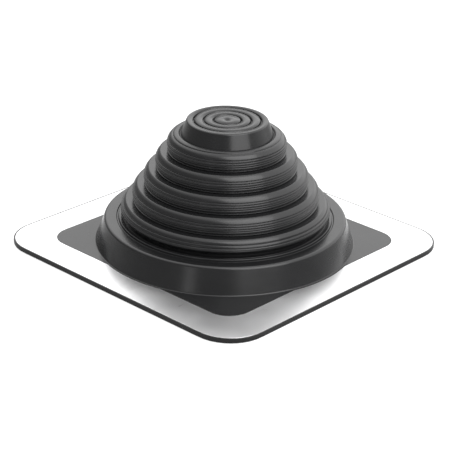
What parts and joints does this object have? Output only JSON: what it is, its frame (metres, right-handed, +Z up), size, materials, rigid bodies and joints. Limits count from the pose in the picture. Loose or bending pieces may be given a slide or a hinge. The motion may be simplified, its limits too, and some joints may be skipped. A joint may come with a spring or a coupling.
{
  "type": "pipe flashing boot",
  "caption": "Stepped black rubber pipe boot on a square base with an inlaid aluminium sheet; it is cut to the pipe's size and seals a pipe where it passes through a roof.",
  "frame": {"origin": "centre of the base's underside, on the cone's axis", "axes": "+Z up along the cone's axis, X and Y along the sides of the square base"},
  "size_m": [0.2032, 0.2032, 0.0836],
  "materials": {
    "epdm_rubber": "black EPDM rubber, moulded, satin sheen",
    "sheet_aluminium": "soft mill-finish aluminium sheet, lightly brushed"
  },
  "bodies": {
    "root": {"rubber_boot": "epdm_rubber", "flange_sheet": "sheet_aluminium"}
  },
  "joints": []
}
